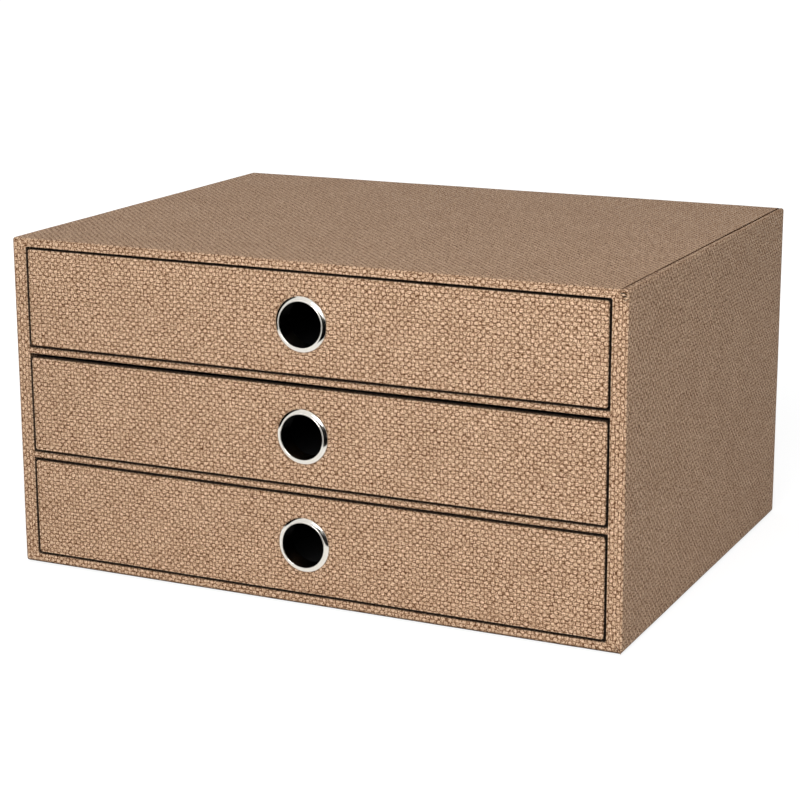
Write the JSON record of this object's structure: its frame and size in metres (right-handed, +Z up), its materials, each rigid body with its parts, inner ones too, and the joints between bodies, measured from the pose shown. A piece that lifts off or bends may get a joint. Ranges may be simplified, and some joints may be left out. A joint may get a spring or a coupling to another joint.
{
  "type": "file box with drawers",
  "caption": "Desktop file box of paper-covered board with sliding drawers, each opened by a finger hole with a metal eyelet.",
  "frame": {"origin": "centre of the underside, on the surface that the box stands on", "axes": "+X across the front from its left to its right, -Y out of the front, the way the drawers open, +Z up"},
  "size_m": [0.335, 0.2553, 0.175],
  "materials": {
    "woven_paper": "matt covering paper embossed with a plain weave, tan with brown in the hollows",
    "dark_paper": "matt black lining paper",
    "greyboard": "bare grey bookbinder's board",
    "eyelet_metal": "polished"
  },
  "bodies": {
    "case": {"case_cover": "woven_paper", "base_sheet": "woven_paper", "back_sheet": "woven_paper", "lower_shelf_cover": "woven_paper", "upper_shelf_cover": "woven_paper", "base_lining": "dark_paper", "base_board": "greyboard", "top_board": "greyboard", "left_board": "greyboard", "right_board": "greyboard", "back_board": "greyboard", "left_liner_bottom": "greyboard", "left_liner_middle": "greyboard", "left_liner_top": "greyboard", "right_liner_bottom": "greyboard", "right_liner_middle": "greyboard", "right_liner_top": "greyboard", "lower_shelf": "greyboard", "upper_shelf": "greyboard"},
    "bottom_drawer": {"bottom_drawer_front_cover": "woven_paper", "bottom_drawer_front_board": "greyboard", "bottom_drawer_tray_floor": "greyboard", "bottom_drawer_tray_left": "greyboard", "bottom_drawer_tray_right": "greyboard", "bottom_drawer_tray_rear": "greyboard", "bottom_drawer_tray_front": "greyboard", "bottom_drawer_tray_cover": "dark_paper", "bottom_drawer_lining": "dark_paper", "bottom_drawer_eyelet": "eyelet_metal", "bottom_drawer_eyelet_washer": "eyelet_metal"},
    "middle_drawer": {"middle_drawer_front_cover": "woven_paper", "middle_drawer_front_board": "greyboard", "middle_drawer_tray_floor": "greyboard", "middle_drawer_tray_left": "greyboard", "middle_drawer_tray_right": "greyboard", "middle_drawer_tray_rear": "greyboard", "middle_drawer_tray_front": "greyboard", "middle_drawer_tray_cover": "dark_paper", "middle_drawer_lining": "dark_paper", "middle_drawer_eyelet": "eyelet_metal", "middle_drawer_eyelet_washer": "eyelet_metal"},
    "top_drawer": {"top_drawer_front_cover": "woven_paper", "top_drawer_front_board": "greyboard", "top_drawer_tray_floor": "greyboard", "top_drawer_tray_left": "greyboard", "top_drawer_tray_right": "greyboard", "top_drawer_tray_rear": "greyboard", "top_drawer_tray_front": "greyboard", "top_drawer_tray_cover": "dark_paper", "top_drawer_lining": "dark_paper", "top_drawer_eyelet": "eyelet_metal", "top_drawer_eyelet_washer": "eyelet_metal"}
  },
  "joints": [
    {"name": "bottom_drawer_slide", "type": "slide", "parent": "case", "child": "bottom_drawer", "axis": [0, -1, 0], "range_m": [0, 0.2]},
    {"name": "middle_drawer_slide", "type": "slide", "parent": "case", "child": "middle_drawer", "axis": [0, -1, 0], "range_m": [0, 0.2]},
    {"name": "top_drawer_slide", "type": "slide", "parent": "case", "child": "top_drawer", "axis": [0, -1, 0], "range_m": [0, 0.2]}
  ]
}
